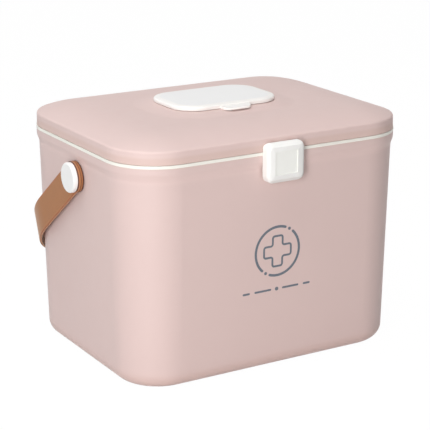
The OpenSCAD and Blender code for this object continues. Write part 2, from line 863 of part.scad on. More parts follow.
module pivot_screw_right() { color(steel) on_pivot(1) pivot_screw_part(); }

case();
tray();
tray_divider_left();
tray_divider_right();
tray_divider_middle();
hinge_pin_left();
hinge_pin_right();
lid();
lid_pocket();
pocket_screws();
hatch();
hatch_pin_left();
hatch_pin_right();
latch();
latch_pin();
strap_back();
strap_bend_left();
strap_bend_right();
strap_arm_left();
strap_arm_right();
strap_pad_left();
strap_pad_right();
pivot_button_left();
pivot_button_right();
pivot_washer_left();
pivot_washer_right();
pivot_screw_left();
pivot_screw_right();
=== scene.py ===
import json

import bmesh
import bpy
import numpy as np
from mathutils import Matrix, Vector
from mathutils.bvhtree import BVHTree


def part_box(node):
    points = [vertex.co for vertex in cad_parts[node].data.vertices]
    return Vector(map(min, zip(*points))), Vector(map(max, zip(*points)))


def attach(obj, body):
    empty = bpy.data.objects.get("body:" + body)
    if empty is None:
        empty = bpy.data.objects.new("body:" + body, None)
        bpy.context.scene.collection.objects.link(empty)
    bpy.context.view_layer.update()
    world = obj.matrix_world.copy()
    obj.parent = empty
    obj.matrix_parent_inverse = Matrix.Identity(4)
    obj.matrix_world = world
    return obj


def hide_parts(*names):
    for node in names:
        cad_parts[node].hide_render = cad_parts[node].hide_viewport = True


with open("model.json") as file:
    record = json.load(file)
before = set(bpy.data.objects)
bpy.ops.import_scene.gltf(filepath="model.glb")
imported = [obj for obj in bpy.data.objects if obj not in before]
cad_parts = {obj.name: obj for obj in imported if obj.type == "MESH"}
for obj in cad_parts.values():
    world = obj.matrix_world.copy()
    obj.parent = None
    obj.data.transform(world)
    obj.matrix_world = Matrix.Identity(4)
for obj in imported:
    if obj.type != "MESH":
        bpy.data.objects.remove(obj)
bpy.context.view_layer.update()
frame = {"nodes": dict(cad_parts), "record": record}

MM = 0.001

# from the frame: the strap's pivot, the lowest point of the lid with its hinge knuckles,
# the corners of the latch, the outer side of the strap's arms, and both faces of a pad
JOINT_PLACES = {j["name"]: np.array(j["pos_m"]) for j in frame["record"]["behaviour"]["joints"]}
STRAP_PIVOT = JOINT_PLACES["strap_swing"]
LID_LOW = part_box("lid")[0][2]
LATCH_LOW, LATCH_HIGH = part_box("latch")
ARM_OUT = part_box("strap_arm_right")[1][0]
PAD_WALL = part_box("strap_pad_right")[0][0]
PAD_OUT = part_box("strap_pad_right")[1][0]

# strap, as in the part's source: width and thickness of the band, the angle below level
# at which it rests, the lean, radius and reach of its bends, and its round ends and bores
STRAP_NODES = ["strap_back", "strap_bend_left", "strap_bend_right", "strap_arm_left", "strap_arm_right"]
STRAP_WIDTH = 25 * MM
STRAP_THICK = 2.6 * MM
STRAP_REST = np.radians(37)
STRAP_LEAN = np.radians(20)
STRAP_BEND = 82 * MM
STRAP_REACH = 151.15 * MM
STRAP_END = 12.75 * MM
STRAP_BORE = 5.08 * MM

# strap, as finished here: the round of the band's edges, and how far past the pivots the
# arms stay on the circle of their round ends
STRAP_ROUND = 0.55 * MM
STRAP_SHOULDER = 2.5 * MM

# rim of the case, as in the part's source: half sizes, corner and top, and the
# underside of the lid's band
RIM_HALF_X = 130 * MM
RIM_HALF_Y = 101.4 * MM
RIM_CORNER = 43.2 * MM
RIM_TOP = 180.5 * MM
LID_SEAM = 182.8 * MM

# white edge in the seam: its inner and outer side from the rim, and its eased corners
SEAM_INNER = -0.5 * MM
SEAM_OUTER = 0.15 * MM
SEAM_EASE = 0.12 * MM

# outlines of the two white plates, as in the part's source, and the width of their frames
HATCH_WIDTH = 95.6 * MM
HATCH_DEPTH = 65 * MM
HATCH_CORNER = 21.4 * MM
HATCH_FRAME = 5.4 * MM
LATCH_CORNER = 6 * MM
LATCH_FRAME = 6.6 * MM

# printed mark on the front: two line widths and the ink's thickness, the ring with the
# angles of its two dots and half of the gap round each in degrees, the cross, the dashes
INK_LINE = 2.1 * MM
INK_FINE = 0.8 * INK_LINE
INK_THICK = 0.1 * MM
MARK_Z = 99.5 * MM
RING_R = 20.3 * MM
RING_DOTS = (58, 238)
RING_GAP = 12
CROSS_LONG = 12.6 * MM
CROSS_WIDE = 4.6 * MM
CROSS_ROUND = 1.8 * MM
DASH_Z = 67.7 * MM
DASHES = ((6 * MM, 20 * MM), (26 * MM, 31 * MM))


def srgb(r, g, b):
    """Scene-linear colour of an 8-bit display colour."""
    c = np.array([r, g, b]) / 255
    lin = np.where(c <= 0.04045, c / 12.92, ((c + 0.055) / 1.055) ** 2.4)
    return (*(float(v) for v in lin), 1.0)


WHITE = (1.0, 1.0, 1.0, 1.0)
SCUFFED_PINK = srgb(228, 208, 203)
# dark rim colour of the strap: a faint dark edge, and painted shade against the wall and under the buttons
DARK_EDGE_AND_SHADE_TAN = srgb(84, 42, 24)


def look_at(thing, aim):
    """Turns a camera or a lamp towards a point."""
    way = Vector(aim) - thing.location
    thing.rotation_euler = way.to_track_quat("-Z", "Y").to_euler()


# the photograph's view, 30.8 degrees to the left of the front and 16.7 above, as fitted
# to the outlines of the box
camera_data = bpy.data.cameras.new("camera")
camera_data.sensor_width = 36.0
camera_data.lens = 128.15
camera = bpy.data.objects.new("camera", camera_data)
bpy.context.scene.collection.objects.link(camera)
camera.location = (-0.6325, -1.0628, 0.4752)
look_at(camera, (0.0006, -0.0004, 0.1039))
bpy.context.scene.camera = camera
bpy.context.scene.view_settings.view_transform = "Standard"


def softbox(name, place, width, height, power, colour=(1.0, 1.0, 1.0)):
    """Rectangular area lamp that looks at the middle of the box: metres and watts."""
    data = bpy.data.lights.new(name, "AREA")
    data.shape = "RECTANGLE"
    data.size = width
    data.size_y = height
    data.energy = power
    data.color = colour
    lamp = bpy.data.objects.new(name, data)
    bpy.context.scene.collection.objects.link(lamp)
    lamp.location = place
    look_at(lamp, (0, 0, 0.1))


# a narrow low key at the front left draws the bright upright band on the round corner,
# a wide one above lights the lid, and the weaker ones fill and tint the sides
softbox("key_softbox", (-1.05, -1.05, 0.45), 0.36, 0.85, 13.6)
softbox("top_softbox", (-0.35, -0.02, 1.7), 1.2, 1.6, 19.2)
softbox("front_softbox", (-0.3, -1.9, 0.25), 1.0, 0.45, 4.2)
softbox("rear_softbox", (-0.4, 1.5, 0.8), 1.0, 0.6, 1.3)
softbox("left_sky", (-1.4, 0.5, 0.45), 0.8, 0.8, 0.75, (0.3, 0.8, 1.0))
softbox("right_glow", (1.25, 0.35, 0.02), 0.5, 0.5, 2.0, (1.0, 0.72, 0.68))


def put(tree, kind, inputs=None, **settings):
    """Adds a node, applies its settings, and links or sets its inputs."""
    made = tree.nodes.new(kind)
    for key, value in settings.items():
        setattr(made, key, value)
    for key, value in (inputs or {}).items():
        if isinstance(value, bpy.types.NodeSocket):
            tree.links.new(value, made.inputs[key])
        else:
            made.inputs[key].default_value = value
    return made


def calc(tree, operation, *values, clamp=False):
    """Result of a Math node on one or two values."""
    inputs = dict(enumerate(values))
    return put(tree, "ShaderNodeMath", inputs, operation=operation, use_clamp=clamp).outputs[0]


def vector_calc(tree, operation, *values):
    """Result of a Vector Math node on one or two vectors: a number for LENGTH."""
    made = put(tree, "ShaderNodeVectorMath", dict(enumerate(values)), operation=operation)
    return made.outputs["Value" if operation == "LENGTH" else "Vector"]


def carried(tree, value, low=0.0, high=1.0, to_low=0.0, to_high=1.0, eased=False):
    """Value carried from low and high to two others and held beyond them."""
    inputs = {"Value": value, "From Min": low, "From Max": high, "To Min": to_low, "To Max": to_high}
    kind = "SMOOTHSTEP" if eased else "LINEAR"
    return put(tree, "ShaderNodeMapRange", inputs, interpolation_type=kind).outputs[0]


def noise(tree, place, scale, detail, roughness=0.5):
    """Soft noise from 0 to 1 at a place."""
    inputs = {"Vector": place, "Scale": scale, "Detail": detail, "Roughness": roughness}
    return put(tree, "ShaderNodeTexNoise", inputs).outputs["Fac"]


def stretched(tree, place, scale):
    """Place stretched along its axes, for streaks and rings."""
    return put(tree, "ShaderNodeMapping", {"Vector": place, "Scale": scale}).outputs[0]


def parted(tree, vector):
    """X, Y and Z of a vector."""
    return put(tree, "ShaderNodeSeparateXYZ", {0: vector}).outputs


def blended(tree, share, first, second):
    """Number between two numbers: the first at share 0 and the second at share 1."""
    return put(tree, "ShaderNodeMix", {0: share, 2: first, 3: second}).outputs[0]


def mixed(tree, share, first, second):
    """Colour between two colours: the first at share 0 and the second at share 1."""
    return put(tree, "ShaderNodeMix", {0: share, 6: first, 7: second}, data_type="RGBA").outputs[2]


def mixed_shader(tree, share, first, second):
    """Shader between two shader nodes: the first at share 0 and the second at share 1."""
    inputs = {0: share, 1: first.outputs[0], 2: second.outputs[0]}
    return put(tree, "ShaderNodeMixShader", inputs).outputs[0]


def seen_directly(tree):
    """1 for rays of the camera and of mirror or clear surfaces, else 0."""
    rays = put(tree, "ShaderNodeLightPath").outputs
    both = calc(tree, "MAXIMUM", rays["Is Camera Ray"], rays["Is Glossy Ray"])
    return calc(tree, "MAXIMUM", both, rays["Is Transmission Ray"])


def white_studio():
    """World that is white where it is seen, and lights the box only faintly."""
    world = bpy.data.worlds.new("white_studio")
    bpy.context.scene.world = world
    world.use_nodes = True
    tree = world.node_tree
    tree.nodes.clear()
    faint = put(tree, "ShaderNodeBackground", {"Color": srgb(250, 250, 252), "Strength": 0.11})
    white = put(tree, "ShaderNodeBackground", {"Color": WHITE, "Strength": 1.0})
    put(tree, "ShaderNodeOutputWorld", {"Surface": mixed_shader(tree, seen_directly(tree), faint, white)})


def white_floor():
    """Sheet of paper that is seen nearly pure white, keeps a shadow and throws light back."""
    half = 3.0
    mesh = bpy.data.meshes.new("floor")
    corners = [(-half, -half, 0), (half, -half, 0), (half, half, 0), (-half, half, 0)]
    mesh.from_pydata(corners, [], [(0, 1, 2, 3)])
    floor = bpy.data.objects.new("floor", mesh)
    bpy.context.scene.collection.objects.link(floor)
    sheet = bpy.data.materials.new("white_sweep")
    sheet.use_nodes = True
    tree = sheet.node_tree
    tree.nodes.clear()
    paper = put(tree, "ShaderNodeBsdfDiffuse", {"Color": srgb(205, 203, 202)})
    glow = put(tree, "ShaderNodeEmission", {"Color": WHITE, "Strength": 1.02})
    share = calc(tree, "MULTIPLY", seen_directly(tree), 0.97)
    put(tree, "ShaderNodeOutputMaterial", {"Surface": mixed_shader(tree, share, paper, glow)})
    mesh.materials.append(sheet)


white_studio()
white_floor()

# kinds of the groups' sockets
VECTOR, NUMBER, COLOUR = "NodeSocketVector", "NodeSocketFloat", "NodeSocketColor"


def new_group(name, inputs, outputs):
    """Shader node group with named sockets: (name, kind, default) in, (name, kind) out.

    Every group also takes a Vector, the place.
    """
    tree = bpy.data.node_groups.new(name, "ShaderNodeTree")
    tree.interface.new_socket("Vector", in_out="INPUT", socket_type=VECTOR)
    for label, kind, default in inputs:
        tree.interface.new_socket(label, in_out="INPUT", socket_type=kind).default_value = default
    for label, kind in outputs:
        tree.interface.new_socket(label, in_out="OUTPUT", socket_type=kind)
    return tree, tree.nodes.new("NodeGroupInput").outputs, tree.nodes.new("NodeGroupOutput").inputs


def build_mould_grain():
    """Fine orange-peel of a moulded skin: small soft noise over a slower one."""
    inputs = [("Fineness", NUMBER, 1400.0)]
    tree, given, out = new_group("mould_grain", inputs, [("Height", NUMBER), ("Gloss", NUMBER)])
    fine = noise(tree, given["Vector"], given["Fineness"], 2.0)
    slow = noise(tree, given["Vector"], calc(tree, "MULTIPLY", given["Fineness"], 0.06), 3.0)
    tree.links.new(blended(tree, 0.3, fine, slow), out["Height"])
    tree.links.new(carried(tree, slow, 0.2, 0.8, eased=True), out["Gloss"])
    return tree


def build_tone_drift():
    """Slow change of tone of a moulded or dyed surface, lighter and darker by Amount."""
    inputs = [("Color", COLOUR, (0.8, 0.8, 0.8, 1)), ("Amount", NUMBER, 0.03), ("Scale", NUMBER, 12.0)]
    tree, given, out = new_group("tone_drift", inputs, [("Color", COLOUR)])
    cloud = noise(tree, given["Vector"], given["Scale"], 4.0, 0.55)
    swing = calc(tree, "MULTIPLY", calc(tree, "SUBTRACT", cloud, 0.5), given["Amount"])
    tinted = vector_calc(tree, "MULTIPLY", given["Color"], calc(tree, "ADD", swing, 1.0))
    tree.links.new(tinted, out["Color"])
    return tree


def build_handling_marks():
    """Faint scuffs: thin broken streaks, kept to a band of heights from Low to High."""
    inputs = [("Low", NUMBER, 0.0), ("High", NUMBER, 0.01), ("Amount", NUMBER, 0.5)]
    tree, given, out = new_group("handling_marks", inputs, [("Mask", NUMBER)])
    streaks = noise(tree, stretched(tree, given["Vector"], (60.0, 60.0, 420.0)), 1.0, 5.0, 0.7)
    thin = carried(tree, streaks, 0.58, 0.72)
    middle = calc(tree, "MULTIPLY", calc(tree, "ADD", given["Low"], given["High"]), 0.5)
    half = calc(tree, "SUBTRACT", given["High"], middle)
    away = calc(tree, "ABSOLUTE", calc(tree, "SUBTRACT", parted(tree, given["Vector"])["Z"], middle))
    band = carried(tree, calc(tree, "DIVIDE", away, half), 1.0, 0.3, eased=True)
    kept = calc(tree, "MULTIPLY", thin, band)
    tree.links.new(calc(tree, "MULTIPLY", kept, given["Amount"], clamp=True), out["Mask"])
    return tree


def build_rim_distance():
    """Depth inside the outline of a rounded rectangle that lies in X and Y.

    With q = |p| - (half size - corner), it is corner - |max(q, 0)| - min(max(qx, qy), 0):
    0 on the outline and above 0 inside it.
    """
    inputs = [("Half Size", VECTOR, (0.05, 0.03, 0.0)), ("Corner", NUMBER, 0.01)]
    tree, given, out = new_group("rim_distance", inputs, [("Depth", NUMBER)])
    flat = vector_calc(tree, "MULTIPLY", given["Vector"], (1.0, 1.0, 0.0))
    corner = put(tree, "ShaderNodeCombineXYZ", {"X": given["Corner"], "Y": given["Corner"]}).outputs[0]
    core = vector_calc(tree, "SUBTRACT", given["Half Size"], corner)
    q = vector_calc(tree, "SUBTRACT", vector_calc(tree, "ABSOLUTE", flat), core)
    beyond = vector_calc(tree, "LENGTH", vector_calc(tree, "MAXIMUM", q, (0.0, 0.0, 0.0)))
    sides = parted(tree, q)
    inner = calc(tree, "MINIMUM", calc(tree, "MAXIMUM", sides["X"], sides["Y"]), 0.0)
    depth = calc(tree, "SUBTRACT", calc(tree, "SUBTRACT", given["Corner"], beyond), inner)
    tree.links.new(depth, out["Depth"])
    return tree


MOULD_GRAIN = build_mould_grain()
RIM_DISTANCE = build_rim_distance()
TONE_DRIFT = build_tone_drift()
HANDLING_MARKS = build_handling_marks()


def new_material(name):
    """Empty Principled material: the tree, its shader node and Object coordinates."""
    material = bpy.data.materials.new(name)
    material.use_nodes = True
    tree = material.node_tree
    return material, tree, tree.nodes["Principled BSDF"], put(tree, "ShaderNodeTexCoord").outputs["Object"]


def place_group(tree, group, inputs):
    """Puts a shared node group into a material with its own values."""
    return put(tree, "ShaderNodeGroup", inputs, node_tree=group).outputs


def toned(tree, place, colour, amount, scale=12.0):
    """Colour with the slow drift of tone."""
    inputs = {"Vector": place, "Color": colour, "Amount": amount, "Scale": scale}
    return place_group(tree, TONE_DRIFT, inputs)["Color"]


def set_roughness(tree, shader, mask, low, high):
    """Roughness that follows a mask from low to high."""
    tree.links.new(carried(tree, mask, to_low=low, to_high=high), shader.inputs["Roughness"])


def set_relief(tree, shader, height, strength, depth):
    """Fine relief of the given depth in metres, from a height of 0 to 1."""
    bump = put(tree, "ShaderNodeBump", {"Height": height, "Strength": strength, "Distance": depth})
    tree.links.new(bump.outputs[0], shader.inputs["Normal"])


def moulded_plastic(name, colour, rough, fineness, grain, drift, marks=None, coat=0.0):
    """Moulded plastic: toned colour, fine skin, and scuffs in one band of heights.

    rough is the middle roughness, fineness the scale of the skin and grain its height
    in metres, drift the change of tone, marks the lowest and highest scuffed height
    with the strength of the scuffs, and coat the weight of a clear gloss on top.
    """
    spread = 0.04
    material, tree, shader, place = new_material(name)
    skin = place_group(tree, MOULD_GRAIN, {"Vector": place, "Fineness": fineness})
    base = toned(tree, place, colour, drift)
    gloss = carried(tree, skin["Gloss"], to_low=rough - spread, to_high=rough + spread)
    if marks:
        inputs = {"Vector": place, "Low": marks[0], "High": marks[1], "Amount": marks[2]}
        worn = place_group(tree, HANDLING_MARKS, inputs)["Mask"]
        base = mixed(tree, worn, base, SCUFFED_PINK)
        gloss = calc(tree, "ADD", gloss, worn, clamp=True)
    tree.links.new(base, shader.inputs["Base Color"])
    tree.links.new(gloss, shader.inputs["Roughness"])
    set_relief(tree, shader, skin["Height"], 0.5, grain)
    shader.inputs["Coat Weight"].default_value = coat
    shader.inputs["Coat Roughness"].default_value = 0.25
    return material


def tint_by_height(material, stops):
    """Multiplies the base colour by tints given at heights: (z, (r, g, b)), eased between."""
    tree = material.node_tree
    colour_in = tree.nodes["Principled BSDF"].inputs["Base Color"]
    low, high = stops[0][0], stops[-1][0]
    height = parted(tree, put(tree, "ShaderNodeTexCoord").outputs["Object"])["Z"]
    ramp = put(tree, "ShaderNodeValToRGB", {"Fac": carried(tree, height, low, high)})
    ramp.color_ramp.interpolation = "EASE"
    knots = ramp.color_ramp.elements
    for z, _ in stops[1:-1]:
        knots.new((z - low) / (high - low))
    for knot, (_, tint) in zip(knots, stops):
        knot.color = (*tint, 1.0)
    base = colour_in.links[0].from_socket
    tree.links.new(vector_calc(tree, "MULTIPLY", base, ramp.outputs["Color"]), colour_in)


# the skin of the small white parts
GLOSSY = {"rough": 0.34, "fineness": 900.0, "grain": 0.02 * MM, "coat": 0.3}


def framed_plate(name, panel, border, middle, half_size, corner, width, rise, upright=False):
    """Gloss white plate whose frame is painted whiter than its panel, a painted highlight, and slopes to
    the outline.

    panel and border are the two colours, the border a painted highlight on the frame,
    middle and half_size place the rounded rectangle, width is that of the frame, and rise
    is how much the frame falls from the panel to the outline.
    """
    material = moulded_plastic(name, panel, drift=0.012, **GLOSSY)
    tree = material.node_tree
    sockets = tree.nodes["Principled BSDF"].inputs
    place = put(tree, "ShaderNodeTexCoord").outputs["Object"]
    place = vector_calc(tree, "SUBTRACT", place, middle)
    if upright:
        sides = parted(tree, place)
        place = put(tree, "ShaderNodeCombineXYZ", {"X": sides["X"], "Y": sides["Z"]}).outputs[0]
    inputs = {"Vector": place, "Half Size": half_size, "Corner": corner}
    depth = place_group(tree, RIM_DISTANCE, inputs)["Depth"]
    # painted highlight: the frame takes the whiter border colour, the panel keeps its own
    inside = carried(tree, depth, width - 0.4 * MM, width + 0.2 * MM)
    base = mixed(tree, inside, border, sockets["Base Color"].links[0].from_socket)
    tree.links.new(base, sockets["Base Color"])
    height = carried(tree, depth, 0.0, width, 0.0, rise)
    grain = sockets["Normal"].links[0].from_socket
    slope = {"Height": height, "Strength": 1.0, "Distance": 1.0, "Normal": grain}
    tree.links.new(put(tree, "ShaderNodeBump", slope).outputs[0], sockets["Normal"])
    return material


def drawn_steel(name, colour, rough):
    """Bright drawn or plated steel: fine rings of polish and a slight change of tone."""
    material, tree, shader, place = new_material(name)
    rings = noise(tree, stretched(tree, place, (4000.0, 300.0, 300.0)), 1.0, 2.0)
    tree.links.new(toned(tree, place, colour, 0.12, 160.0), shader.inputs["Base Color"])
    set_roughness(tree, shader, rings, rough - 0.1, rough + 0.15)
    set_relief(tree, shader, rings, 0.3, 0.01 * MM)
    shader.inputs["Metallic"].default_value = 1.0
    return material


def tan_hide(name):
    """Tan imitation leather: pebbled face, bright pressed border, dark rims that are partly painted shade.

    The attribute rim_way is the way in millimetres from the corner between face
    and edge, below 0 on the faces and above 0 on the cut edge, and rim_dark is how
    dark that corner is painted: a faint dark edge, deepened into painted shade where
    the band lies against the wall and round the ends under the buttons.
    """
    material, tree, shader, place = new_material(name)
    way = put(tree, "ShaderNodeAttribute", attribute_name="rim_way").outputs["Fac"]
    dark = put(tree, "ShaderNodeAttribute", attribute_name="rim_dark").outputs["Fac"]
    cells = {"Vector": place, "Scale": 1500.0, "Randomness": 1.0}
    pebble = put(tree, "ShaderNodeTexVoronoi", cells, feature="SMOOTH_F1").outputs["Distance"]
    grain = blended(tree, 0.35, pebble, noise(tree, place, 3000.0, 2.0))
    border = carried(tree, way, -1.4, -0.7, eased=True)
    base = mixed(tree, border, toned(tree, place, srgb(160, 101, 51), 0.22, 60.0), srgb(172, 99, 48))
    base = mixed(tree, carried(tree, way, 0.3, 0.8, eased=True), base, srgb(178, 120, 78))
    # painted shade: the dark rim at the corner, deepest against the wall and under the buttons
    off_corner = calc(tree, "ABSOLUTE", calc(tree, "SUBTRACT", way, 0.15))
    dark_edge_and_shade = calc(tree, "MULTIPLY", carried(tree, off_corner, 0.75, 0.35, eased=True), dark)
    tree.links.new(mixed(tree, dark_edge_and_shade, base, DARK_EDGE_AND_SHADE_TAN), shader.inputs["Base Color"])
    set_roughness(tree, shader, grain, 0.5, 0.68)
    set_relief(tree, shader, grain, 0.6, 0.06 * MM)
    shader.inputs["Specular IOR Level"].default_value = 0.6
    shader.inputs["Sheen Weight"].default_value = 0.3
    shader.inputs["Sheen Roughness"].default_value = 0.35
    shader.inputs["Sheen Tint"].default_value = srgb(250, 240, 225)
    return material


def tan_pad_edge(name):
    """Cut edge of the same hide, for the round pads: tan, with painted shade as a dark line at both faces,
    where the pad meets the wall and under the button's head.
    """
    material, tree, shader, place = new_material(name)
    fibres = noise(tree, place, 2500.0, 3.0)
    across = calc(tree, "ABSOLUTE", parted(tree, place)["X"])
    # painted shade: dark where the pad meets the wall, and half as dark under the button's head
    wall = carried(tree, across, PAD_WALL + 1.4 * MM, PAD_WALL + 0.9 * MM, eased=True)
    outer = carried(tree, across, PAD_OUT - 0.5 * MM, PAD_OUT - 0.2 * MM, to_high=0.5, eased=True)
    base = toned(tree, place, srgb(170, 112, 70), 0.15, 200.0)
    base = mixed(tree, calc(tree, "MAXIMUM", wall, outer), base, DARK_EDGE_AND_SHADE_TAN)
    tree.links.new(base, shader.inputs["Base Color"])
    set_roughness(tree, shader, fibres, 0.45, 0.65)
    set_relief(tree, shader, fibres, 0.4, 0.04 * MM)
    return material


def printed_ink(name):
    """Screen-printed slate ink: nearly matt, with fine speckle where it lies thin."""
    material, tree, shader, place = new_material(name)
    speckle = noise(tree, place, 1800.0, 3.0)
    thin = carried(tree, speckle, 0.62, 0.75, to_high=0.4)
    slate = toned(tree, place, srgb(104, 112, 122), 0.2, 90.0)
    tree.links.new(mixed(tree, thin, slate, srgb(196, 176, 172)), shader.inputs["Base Color"])
    set_roughness(tree, shader, speckle, 0.45, 0.6)
    return material


pink_skin = {"fineness": 1400.0, "grain": 0.06 * MM, "drift": 0.03}
foot_marks = (0.0, 12 * MM, 0.25)
band_marks = (LID_LOW, LID_LOW + 18 * MM, 0.12)
case_pink = moulded_plastic("case_pink", srgb(220, 195, 190), 0.46, marks=foot_marks, **pink_skin)
lid_pink = moulded_plastic("lid_pink", srgb(222, 197, 192), 0.54, marks=band_marks, **pink_skin)

# painted shade and light: the upright band of the lid is painted a little warmer and darker
# than its crown, and so is the foot of the case, while the flare under its rim is painted lighter against
# the shade that falls in it
PLAIN = (1.0, 1.0, 1.0)
lid_painted_shade = [
    (LID_LOW + 14 * MM, (0.955, 0.925, 0.89)),
    (LID_LOW + 17 * MM, PLAIN),
]
case_painted_shade_and_light = [
    (2 * MM, (0.97, 0.915, 0.885)),
    (17 * MM, PLAIN),
    (165 * MM, PLAIN),
    (171.5 * MM, (1.07, 1.07, 1.07)),
    (178 * MM, PLAIN),
]
tint_by_height(lid_pink, lid_painted_shade)
tint_by_height(case_pink, case_painted_shade_and_light)

inner_white = moulded_plastic("inner_white", srgb(244, 241, 232), 0.4, 1600.0, 0.05 * MM, 0.02)
gloss_white = moulded_plastic("gloss_white", srgb(241, 240, 238), drift=0.015, **GLOSSY)
hatch_white = framed_plate(
    "hatch_white",
    panel=srgb(240, 239, 238),
    border=srgb(246, 243, 239),
    middle=(0.0, 0.0, 0.0),
    half_size=(HATCH_WIDTH / 2, HATCH_DEPTH / 2, 0.0),
    corner=HATCH_CORNER,
    width=HATCH_FRAME,
    rise=0.5 * MM,
)
latch_white = framed_plate(
    "latch_white",
    panel=srgb(246, 246, 241),
    border=srgb(246, 245, 242),
    middle=((LATCH_LOW[0] + LATCH_HIGH[0]) / 2, 0.0, (LATCH_LOW[2] + LATCH_HIGH[2]) / 2),
    half_size=((LATCH_HIGH[0] - LATCH_LOW[0]) / 2, (LATCH_HIGH[2] - LATCH_LOW[2]) / 2, 0.0),
    corner=LATCH_CORNER,
    width=LATCH_FRAME,
    rise=1.25 * MM,
    upright=True,
)
steel = drawn_steel("drawn_steel", srgb(205, 207, 210), 0.39)
zinc = drawn_steel("plated_steel", srgb(196, 199, 204), 0.42)
hide = tan_hide("tan_hide")
pad_edge = tan_pad_edge("tan_pad_edge")
ink = printed_ink("slate_ink")

finishes = [
    (case_pink, ["case"]),
    (lid_pink, ["lid"]),
    (inner_white, ["tray", "tray_divider_left", "tray_divider_right", "tray_divider_middle", "lid_pocket"]),
    (hatch_white, ["hatch"]),
    (latch_white, ["latch"]),
    (gloss_white, ["pivot_button_left", "pivot_button_right"]),
    (pad_edge, ["strap_pad_left", "strap_pad_right"]),
    (steel, ["hinge_pin_left", "hinge_pin_right", "latch_pin", "hatch_pin_left", "hatch_pin_right"]),
    (zinc, ["pocket_screws", "pivot_screw_left", "pivot_screw_right"]),
    (zinc, ["pivot_washer_left", "pivot_washer_right"]),
]
for material, node_names in finishes:
    for node_name in node_names:
        slots = frame["nodes"][node_name].data.materials
        slots.clear()
        slots.append(material)


def quads(rows, cols):
    """Faces of a tube of points in rows: (i, j) joins (i, j + 1), (i + 1, j + 1), (i + 1, j).

    The last point of a row joins its first.
    """
    i, j = np.meshgrid(np.arange(rows - 1), np.arange(cols), indexing="ij")
    k = (j + 1) % cols
    return np.stack([i * cols + j, i * cols + k, (i + 1) * cols + k, (i + 1) * cols + j], -1).reshape(-1, 4)


def new_piece(name, points, faces, material, values=None):
    """Object at the origin from points and faces: welded, turned outwards, smooth.

    values holds named numbers per point, kept as float attributes.
    """
    mesh = bpy.data.meshes.new(name)
    mesh.from_pydata(points.tolist(), [], faces.tolist())
    for label, numbers in (values or {}).items():
        layer = mesh.attributes.new(label, "FLOAT", "POINT")
        layer.data.foreach_set("value", np.asarray(numbers, np.float32).ravel())
    work = bmesh.new()
    work.from_mesh(mesh)
    bmesh.ops.remove_doubles(work, verts=work.verts, dist=1e-6)
    bmesh.ops.dissolve_degenerate(work, edges=work.edges, dist=1e-7)
    bmesh.ops.recalc_face_normals(work, faces=work.faces)
    work.to_mesh(mesh)
    work.free()
    mesh.polygons.foreach_set("use_smooth", [True] * len(mesh.polygons))
    mesh.materials.append(material)
    piece = bpy.data.objects.new(name, mesh)
    bpy.context.scene.collection.objects.link(piece)
    return piece


def strap_path():
    """Middle line of the strap from one round end to the other, seen along its bends.

    x is across the box and v the way back from the pivots: a straight arm, a
    quarter circle of the bend radius, half of the back, then the same mirrored.
    Returns x, v, the outward normal (nx, nv), and end, the angle round the end.
    """
    half = ARM_OUT - STRAP_THICK / 2
    reach = STRAP_REACH - STRAP_THICK / 2
    bend = STRAP_BEND - STRAP_THICK / 2
    end_steps, arm_steps, turn_steps, back_steps = 14, 40, 40, 20
    end = np.radians(np.linspace(90, 0, end_steps))
    arm = np.linspace(0, reach - bend, arm_steps)[1:]
    turn = np.radians(np.linspace(0, 90, turn_steps))[1:]
    back = np.linspace(half - bend, 0, back_steps)[1:]
    zero, one = np.zeros_like, np.ones_like
    x = np.concatenate([half * one(end), half * one(arm), half - bend + bend * np.cos(turn), back])
    round_turn = reach - bend + bend * np.sin(turn)
    v = np.concatenate([-STRAP_END * np.sin(end), arm, round_turn, reach * one(back)])
    nx = np.concatenate([one(end), one(arm), np.cos(turn), zero(back)])
    nv = np.concatenate([zero(end), zero(arm), np.sin(turn), one(back)])
    end = np.concatenate([end, zero(arm), zero(turn), zero(back)])
    mirror = slice(-2, None, -1)
    halves = ((x, -1), (v, 1), (nx, -1), (nv, 1), (end, 1))
    return tuple(np.concatenate([a, sign * a[mirror]]) for a, sign in halves)


def strap_section():
    """Closed section of the band, as f, inset and thick for each of its points.

    f runs from -1 to 1 over a face, inset is how far the point lies inside the edge
    and thick how far outside the middle of the band. The edges are quarter circles of
    radius r on both sides of a flat: inset r (1 - sin q) and r (1 - cos q). The outer
    face and one edge are worked out, and the rest is their turn by 180 degrees.
    """
    q = np.radians(np.linspace(0, 90, 6))
    over, under = q[1:], q[:-1]
    face = np.array([1, 0.97, 0.93, 0.86, 0.7, 0.45, 0.15, -0.15, -0.45, -0.7, -0.86, -0.93, -0.97, -1])
    edge = np.linspace(-1, 1, 5)[1:-1]
    zero, one = np.zeros_like, np.ones_like
    flat = STRAP_THICK / 2 - STRAP_ROUND
    high, low = flat + STRAP_ROUND * np.cos(over), -flat - STRAP_ROUND * np.sin(under)
    f = np.concatenate([face, -one(over), -one(edge), -one(under)])
    inset = STRAP_ROUND * np.concatenate([one(face), 1 - np.sin(over), zero(edge), 1 - np.cos(under)])
    thick = np.concatenate([STRAP_THICK / 2 * one(face), high, -flat * edge, low])
    return tuple(np.concatenate([a, sign * a]) for a, sign in ((f, -1), (inset, 1), (thick, -1)))


